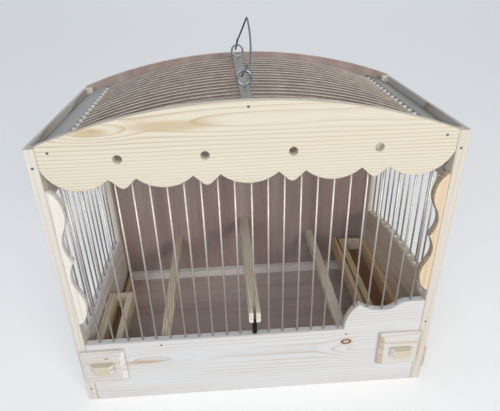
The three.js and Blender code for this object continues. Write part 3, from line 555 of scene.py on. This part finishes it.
print("boards eased")


# Wires.
def surfaceUnder(nodeName):
    mesh = bmesh.new()
    mesh.from_mesh(nodes[nodeName].data)
    tree = BVHTree.FromBMesh(mesh)
    mesh.free()
    return tree


# Where a wire meets the top of a board, and the way the wood faces there.
def footOn(tree, x, y, castFrom):
    hit, normal = tree.ray_cast(Vector((x * mm, y * mm, castFrom * mm)), Vector((0, 0, -1)))[:2]
    return Vector((x, y, hit.z / mm)), normal


# The place of a cone that points the given way.
def standing(at, along):
    return Matrix.Translation(Vector(at) * mm) @ Vector(along).to_track_quat("Z", "Y").to_matrix().to_4x4()


def addCone(mesh, footRadius, tipRadius, depth, sides, matrix):
    return bmesh.ops.create_cone(mesh, cap_ends=True, cap_tris=False, segments=sides,
                                 radius1=footRadius * mm, radius2=tipRadius * mm, depth=depth * mm,
                                 matrix=matrix)


# A wire's foot strays from its place by a drift, smaller at the sides and taken in another order.
wireSet = {"diameter": 2.0, "sides": 12, "intoWood": 2.0, "frontCast": 200, "sideCast": 240,
           "footDrift": [0.3, -0.4, 0.2, 0.5, -0.3, 0.1, 0.6, 0.4, -0.2, 0.3, -0.5, 0.2,
                         0.0, -0.4, 0.5, 0.3, -0.6, 0.2, 0.4, -0.3, 0.5, -0.2, 0.3],
           "sideShare": 0.8, "sideSkip": 5, "sideStart": {"left": 0, "right": 3}}
sunk = Vector((0, 0, wireSet["intoWood"]))


def addRod(mesh, low, high):
    low, high = Vector(low), Vector(high)
    thick = wireSet["diameter"] / 2
    made = addCone(mesh, thick, thick, (high - low).length, wireSet["sides"],
                   standing((low + high) / 2, high - low))
    for face in set(f for v in made["verts"] for f in v.link_faces):
        face.smooth = len(face.verts) == 4


# A dark disc lying on the wood round a wire: the painted shade of its drilled hole.
rim = {"radius": 1.25, "topShare": 0.9, "depth": 0.12, "sides": 14}
rims = bmesh.new()


def addHoleShade(foot, normal):
    addCone(rims, rim["radius"], rim["radius"] * rim["topShare"], rim["depth"], rim["sides"],
            standing(foot, normal))


frontMesh = bmesh.new()
boardTop = surfaceUnder("front_bottom_board")
for x, drift in zip(frontWireXs, wireSet["footDrift"]):
    foot, normal = footOn(boardTop, x + drift, cage["wireY"], wireSet["frontCast"])
    addRod(frontMesh, foot - sunk, (x, cage["wireY"], cage["wireTop"]))
    addHoleShade(foot, normal)
frontWires = objectFrom("frontWires", frontMesh)
rideAs(frontWires, "front_header", "wireZinc")

tornFeet = []
for side, sign in (("left", -1), ("right", 1)):
    sideMesh = bmesh.new()
    sideTop = surfaceUnder(f"side_board_{side}")
    x = sign * cage["sideWireX"]
    drifts = wireSet["footDrift"]
    for i, y in enumerate(sideWireYs):
        foot, normal = footOn(sideTop, x, y, wireSet["sideCast"])
        pick = (i * wireSet["sideSkip"] + wireSet["sideStart"][side]) % len(drifts)
        foot.y += drifts[pick] * wireSet["sideShare"]
        addRod(sideMesh, foot - sunk, Vector((x, y, cage["railFoot"])) + sunk)
        addHoleShade(foot, normal)
        if side == "right":
            tornFeet.append((foot, normal))
    sideWires = objectFrom(f"{side}SideWires", sideMesh)
    rideAs(sideWires, f"side_rail_{side}", "wireZinc")

# Each roof wire is a ring of points swept about a line far below the cage.
roof = {"count": 16, "first": -94.5, "pitch": 12.5, "top": 330.5, "half": 161.9, "sag": 30.5, "into": 3.0,
        "steps": 44}
radius = (roof["half"] ** 2 + roof["sag"] ** 2) / (2 * roof["sag"])
swing = math.asin((roof["half"] + roof["into"]) / radius)
roofMesh = bmesh.new()
middle = Vector((0, roof["first"], roof["top"] - radius)) * mm
start = bmesh.ops.create_circle(roofMesh, cap_ends=False, segments=wireSet["sides"],
                                radius=wireSet["diameter"] * mm / 2)
bmesh.ops.rotate(roofMesh, verts=start["verts"], cent=(0, 0, 0), matrix=Matrix.Rotation(math.pi / 2, 3, "Y"))
bmesh.ops.translate(roofMesh, verts=start["verts"], vec=middle + Vector((0, 0, radius * mm)))
bmesh.ops.rotate(roofMesh, verts=start["verts"], cent=middle, matrix=Matrix.Rotation(-swing, 3, "Y"))
ringEdges = list(set(e for v in start["verts"] for e in v.link_edges))
bmesh.ops.spin(roofMesh, geom=start["verts"] + ringEdges, cent=middle, axis=(0, 1, 0), dvec=(0, 0, 0),
               angle=2 * swing, steps=roof["steps"], use_merge=False, use_duplicate=False)
bmesh.ops.holes_fill(roofMesh, edges=[e for e in roofMesh.edges if e.is_boundary], sides=0)
bmesh.ops.recalc_face_normals(roofMesh, faces=roofMesh.faces[:])
for face in roofMesh.faces:
    face.smooth = len(face.verts) == 4
firstWire = roofMesh.verts[:] + roofMesh.edges[:] + roofMesh.faces[:]
for i in range(1, roof["count"]):
    copied = bmesh.ops.duplicate(roofMesh, geom=firstWire)
    movedVerts = [g for g in copied["geom"] if isinstance(g, bmesh.types.BMVert)]
    bmesh.ops.translate(roofMesh, verts=movedVerts, vec=(0, i * roof["pitch"] * mm, 0))
roofWires = objectFrom("roofWires", roofMesh)
rideAs(roofWires, "ridge_bar", "roofWireZincPaintedReflection")

bar = {"low": (-6.75, -102.7, 326.5), "high": (2.75, 105.7, 334.5), "edge": 0.5}
barLow, barHigh = Vector(bar["low"]) * mm, Vector(bar["high"]) * mm
barMesh = bmesh.new()
bmesh.ops.create_cube(barMesh, size=1.0)
bmesh.ops.scale(barMesh, verts=barMesh.verts[:], vec=barHigh - barLow)
bmesh.ops.translate(barMesh, verts=barMesh.verts[:], vec=(barLow + barHigh) / 2)
easeEdges(barMesh, bar["edge"])
# The ridge bar takes the deeper painted shade of the right slat.
rideAs(objectFrom("ridgeBar", barMesh), "ridge_bar", "shadedSlatPine")

# The drill tore a pale burr out of the slat round each roof wire. It starts a share of its length deep.
burr = {"radius": 2.4, "tip": 1.1, "long": 3.4, "deep": 0.4, "sides": 9}
burrs = bmesh.new()
reach = math.asin(roof["half"] / radius)
for i in range(roof["count"]):
    for sign in (-1, 1):
        outward = Vector((sign * math.cos(reach), 0, -math.sin(reach)))
        foot = Vector((sign * roof["half"], roof["first"] + i * roof["pitch"],
                       roof["top"] - radius + radius * math.cos(reach)))
        addCone(burrs, burr["radius"], burr["tip"], burr["long"], burr["sides"],
                standing(foot - outward * burr["long"] * burr["deep"], -outward))
# The same shows where the side wires enter the right board.
footBurr = {"radius": 2.6, "tip": 1.1, "high": 1.3, "up": 0.35, "inward": (-0.8, 0, 0), "sides": 7}
for foot, normal in tornFeet:
    middle = foot + normal * footBurr["high"] * footBurr["up"] + Vector(footBurr["inward"])
    addCone(burrs, footBurr["radius"], footBurr["tip"], footBurr["high"], footBurr["sides"],
            standing(middle, normal))
burrPiece = objectFrom("slatBurrs", burrs)
burrPiece.data.materials.append(finishes["tornPine"])
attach(burrPiece, "frame")

holeShadeDiscs = objectFrom("drilledHoleShadeDiscs", rims)
holeShadeDiscs.data.materials.append(finishes["holeShade"])
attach(holeShadeDiscs, "frame")
print("wires strung")


# Eye screws and bail, each one bent wire.
def bentWire(name, points, diameter, finish):
    curve = bpy.data.curves.new(name, "CURVE")
    curve.dimensions = "3D"
    curve.bevel_depth = diameter * mm / 2
    curve.bevel_resolution = 4
    curve.use_fill_caps = True
    spline = curve.splines.new("BEZIER")
    spline.bezier_points.add(len(points) - 1)
    for point, place in zip(spline.bezier_points, points):
        point.co = [v * mm for v in place]
        point.handle_left_type = point.handle_right_type = "AUTO"
    spline.resolution_u = 5
    curve.materials.append(finishes[finish])
    piece = bpy.data.objects.new(name, curve)
    bpy.context.scene.collection.objects.link(piece)
    return piece


# The wire rises to its neck, goes round the ring by degrees and ends in a tip left of the shank.
eye = {"x": -2, "z": 343.6, "ring": 6.2, "wire": 2.2, "foot": 334.3, "neck": 1.3, "tipX": -1.9,
       "turn": range(-55, 216, 18), "ys": {"front": -66, "rear": 72}}
for place, y in eye["ys"].items():
    points = [(eye["x"], y, eye["foot"]), (eye["x"], y, eye["z"] - eye["neck"] * eye["ring"])]
    for a in eye["turn"]:
        points.append((eye["x"] + eye["ring"] * math.cos(math.radians(a)), y,
                       eye["z"] + eye["ring"] * math.sin(math.radians(a))))
    points.append((eye["x"] + eye["tipX"], y, eye["z"] - eye["ring"]))
    screw = bentWire(f"{place}EyeScrew", points, eye["wire"], "eyeZincPaintedReflection")
    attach(screw, "frame")
    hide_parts(f"eye_screw_{place}")

bail = {"x": -3.8, "z": 345, "midY": 3, "lean": 13.4, "rise": 41.8, "wire": 1.8}
# Distance from the middle, height over the hinge line, and how far the front leg bows to the right.
leg = [(72.3, 11.5, 2.4), (71.7, 2.7, 0.5), (70.9, 0.8, 0), (69, 0, 0), (67.1, 0.8, 0), (66.3, 2.7, 0.8),
       (65.9, 6.7, 3.4), (64.7, 10.5, 5.1), (60.3, 13.0, 5.3), (42.8, 21.4, 5.2), (26.9, 29.0, 4.1),
       (6.9, 39.1, 1.2)]
rearLeg = [(0, y, z) for y, z, bow in leg]
frontLeg = [(bow, -y, z) for y, z, bow in reversed(leg)]
lean = Matrix.Rotation(math.radians(bail["lean"]), 3, "Y")
hinge = Vector((bail["x"], bail["midY"], bail["z"]))
bailPoints = [lean @ Vector(p) + hinge for p in rearLeg + [(0, 0, bail["rise"])] + frontLeg]
handle = bentWire("bailHandle", bailPoints, bail["wire"], "bailZincPaintedReflection")
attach(handle, "bail")
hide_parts("bail_handle")


# Sleeve, nails, staple.
# Each ease says how far the rim's corner goes in, and how far up or down.
sleeve = {"outer": 2.5, "bore": 1.05, "y": -107, "low": 82.2, "lowEase": (0.3, 0.4), "topEase": (0.4, 0.5),
          "steps": 28}
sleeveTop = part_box("perch_sleeve")[1][2] / mm
sleeveMesh = bmesh.new()
profile = [(sleeve["bore"], sleeve["low"]), (sleeve["outer"] - sleeve["lowEase"][0], sleeve["low"]),
           (sleeve["outer"], sleeve["low"] + sleeve["lowEase"][1]),
           (sleeve["outer"], sleeveTop - sleeve["topEase"][1]),
           (sleeve["outer"] - sleeve["topEase"][0], sleeveTop), (sleeve["bore"], sleeveTop)]
profileVerts = [sleeveMesh.verts.new((r * mm, sleeve["y"] * mm, z * mm)) for r, z in profile]
profileEdges = [sleeveMesh.edges.new(ends) for ends in zip(profileVerts, profileVerts[1:] + profileVerts[:1])]
bmesh.ops.spin(sleeveMesh, geom=profileVerts + profileEdges, cent=(0, sleeve["y"] * mm, 0), axis=(0, 0, 1),
               dvec=(0, 0, 0), angle=2 * math.pi, steps=sleeve["steps"], use_merge=True, use_duplicate=False)
bmesh.ops.remove_doubles(sleeveMesh, verts=sleeveMesh.verts[:], dist=easing["weld"])
bmesh.ops.recalc_face_normals(sleeveMesh, faces=sleeveMesh.faces[:])
for face in sleeveMesh.faces:
    face.smooth = True
rideAs(objectFrom("perchSleeve", sleeveMesh), "perch_sleeve", "sleeveRubber")

# A nail is a thin disc for its dent and one for its head, each set so far behind the wood's face.
nails = {"head": 0.9, "headY": -0.04, "dent": 1.35, "dentY": 0.01, "faceY": -111, "faceShare": 0.86,
         "depth": 0.1, "sides": 16,
         "front": [(-169.6, 298), (169.6, 298), (-1.2, 330.2), (-100.3, 76), (98.6, 75.3), (-184.7, 284.9),
                   (184.1, 285.4), (184.7, 86.2), (-184.9, 17.1)]}
headMesh = bmesh.new()
dentMesh = bmesh.new()
facingFront = Matrix.Rotation(math.pi / 2, 4, "X")
for x, z in nails["front"]:
    for kind, mesh in (("dent", dentMesh), ("head", headMesh)):
        at = Vector((x, nails["faceY"] + nails[f"{kind}Y"], z)) * mm
        addCone(mesh, nails[kind], nails[kind] * nails["faceShare"], nails["depth"], nails["sides"],
                Matrix.Translation(at) @ facingFront)
drawerNail = {"x": 172, "y": 12, "up": 0.1, "size": 1.3, "topShare": 0.8, "depth": 0.5, "sides": 12,
              "slant": 20}
drawerNailMesh = bmesh.new()
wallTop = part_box("right_drawer_side_right")[1][2] / mm
at = Vector((drawerNail["x"], drawerNail["y"], wallTop + drawerNail["up"])) * mm
slanted = Matrix.Rotation(math.radians(drawerNail["slant"]), 4, "Y")
addCone(drawerNailMesh, drawerNail["size"], drawerNail["size"] * drawerNail["topShare"], drawerNail["depth"],
        drawerNail["sides"], Matrix.Translation(at) @ slanted)
for name, mesh, finish, slot, body in (
        ("nailHeads", headMesh, "bailZincPaintedReflection", "zinc", "frame"),
        ("nailDents", dentMesh, "nailDark", "pine", "frame"),
        ("drawerNail", drawerNailMesh, "nailDark", "zinc", bodyOf["right_drawer_front"])):
    piece = objectFrom(name, mesh)
    piece.data.materials.append(finishes[finish])
    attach(piece, body)

# Both arms go into the rail, and the crown between them slopes a little.
staple = {"armX": 181.5, "crownX": 179.5, "low": (-98.5, 259), "high": (-98.9, 266), "wire": 0.9}
crown = [(staple["armX"], *staple["low"]), (staple["crownX"], *staple["low"]),
         (staple["crownX"], *staple["high"]), (staple["armX"], *staple["high"])]
stapleWire = bentWire("railStaple", crown, staple["wire"], "eyeZincPaintedReflection")
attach(stapleWire, "frame")
print("fittings made")


# Floor, light, camera.
# The key lamp is right of the camera, the fill lamp left of it, and a low soft sun reaches the back.
# What faces up is lit mostly by the dim bluish sky. Lengths here and for the camera are in metres.
studio = {"floor": "#ecebe8", "floorGlow": 0.36, "floorSize": 12, "floorDrop": 0.0002,
          "sky": "#dfe3e7", "skyLight": 0.42, "skyTint": "#d2e0f2", "lampAim": (0, 0, 0.15),
          "keyAt": (1.0, -1.75, 0.85), "keySize": 0.8, "keyPower": 15.5, "keyColour": "#fff9f1",
          "fillAt": (-0.7, -1.7, 1.05), "fillSize": 1.5, "fillPower": 15.5, "fillColour": "#f1f5ff",
          "rearAt": (0.3, 2.0, 0.5), "rearWidth": 40, "rearPower": 0.7, "rearColour": "#fbf8f3"}
floorMesh = bmesh.new()
bmesh.ops.create_grid(floorMesh, x_segments=2, y_segments=2, size=studio["floorSize"])
bmesh.ops.translate(floorMesh, verts=floorMesh.verts[:], vec=(0, 0, -studio["floorDrop"]))
floor = objectFrom("studioFloor", floorMesh)
floorPaint = emptyMaterial("mattStudioFloor")
floorShader = addNode(floorPaint, "ShaderNodeBsdfPrincipled",
                      {"Base Color": linear(studio["floor"]), "Roughness": 0.8})
floorSeen = addNode(floorPaint, "ShaderNodeLightPath")
floorGlow = addNode(floorPaint, "ShaderNodeMath", {"operation": "MULTIPLY", 1: studio["floorGlow"]},
                    {0: floorSeen.outputs["Is Camera Ray"]})
glow = addNode(floorPaint, "ShaderNodeEmission", {"Color": linear(studio["floor"])},
               {"Strength": floorGlow.outputs[0]})
floorMix = addNode(floorPaint, "ShaderNodeAddShader", {}, {0: floorShader.outputs[0], 1: glow.outputs[0]})
addNode(floorPaint, "ShaderNodeOutputMaterial", {}, {"Surface": floorMix.outputs[0]})
floor.data.materials.append(floorPaint)

world = bpy.data.worlds.new("softStudio")
bpy.context.scene.world = world
world.use_nodes = True
world.node_tree.nodes.clear()
rays = addNode(world, "ShaderNodeLightPath")
seen = addNode(world, "ShaderNodeMath", {"operation": "MAXIMUM"},
               {0: rays.outputs["Is Camera Ray"], 1: rays.outputs["Is Glossy Ray"]})
lightSky = addNode(world, "ShaderNodeBackground",
                   {"Color": linear(studio["skyTint"]), "Strength": studio["skyLight"]})
seenSky = addNode(world, "ShaderNodeBackground", {"Color": linear(studio["sky"]), "Strength": 1.0})
mixed = addNode(world, "ShaderNodeMixShader", {},
                {0: seen.outputs[0], 1: lightSky.outputs[0], 2: seenSky.outputs[0]})
addNode(world, "ShaderNodeOutputWorld", {}, {"Surface": mixed.outputs[0]})

for name in ("key", "fill", "rear"):
    lamp = bpy.data.lights.new(f"{name}Light", "SUN" if name == "rear" else "AREA")
    if name == "rear":
        lamp.angle = math.radians(studio["rearWidth"])
    else:
        lamp.shape = "DISK"
        lamp.size = studio[f"{name}Size"]
    lamp.energy = studio[f"{name}Power"]
    lamp.color = linear(studio[f"{name}Colour"])[:3]
    lampObject = bpy.data.objects.new(f"{name}Light", lamp)
    lampObject.location = studio[f"{name}At"]
    beam = Vector(studio["lampAim"]) - Vector(studio[f"{name}At"])
    lampObject.rotation_euler = beam.to_track_quat("-Z", "Y").to_euler()
    bpy.context.scene.collection.objects.link(lampObject)

# Where the photograph was taken from. The turn is in radians, the sensor and the lens are in mm.
view = {"at": (-0.02246, -0.4768, 0.43556), "turn": (1.07582, 0.0266, -0.06023), "sensor": 36,
        "lens": 33.058, "shift": (0.0080, 0.00286), "nearest": 0.01}
camera = bpy.data.cameras.new("photoCamera")
camera.sensor_fit = "HORIZONTAL"
camera.sensor_width = view["sensor"]
camera.lens = view["lens"]
camera.shift_x = view["shift"][0]
camera.shift_y = view["shift"][1]
camera.clip_start = view["nearest"]
cameraObject = bpy.data.objects.new("photoCamera", camera)
cameraObject.location = view["at"]
cameraObject.rotation_euler = view["turn"]
bpy.context.scene.collection.objects.link(cameraObject)
bpy.context.scene.camera = cameraObject
bpy.context.scene.view_settings.view_transform = "Standard"

print("scene ready")
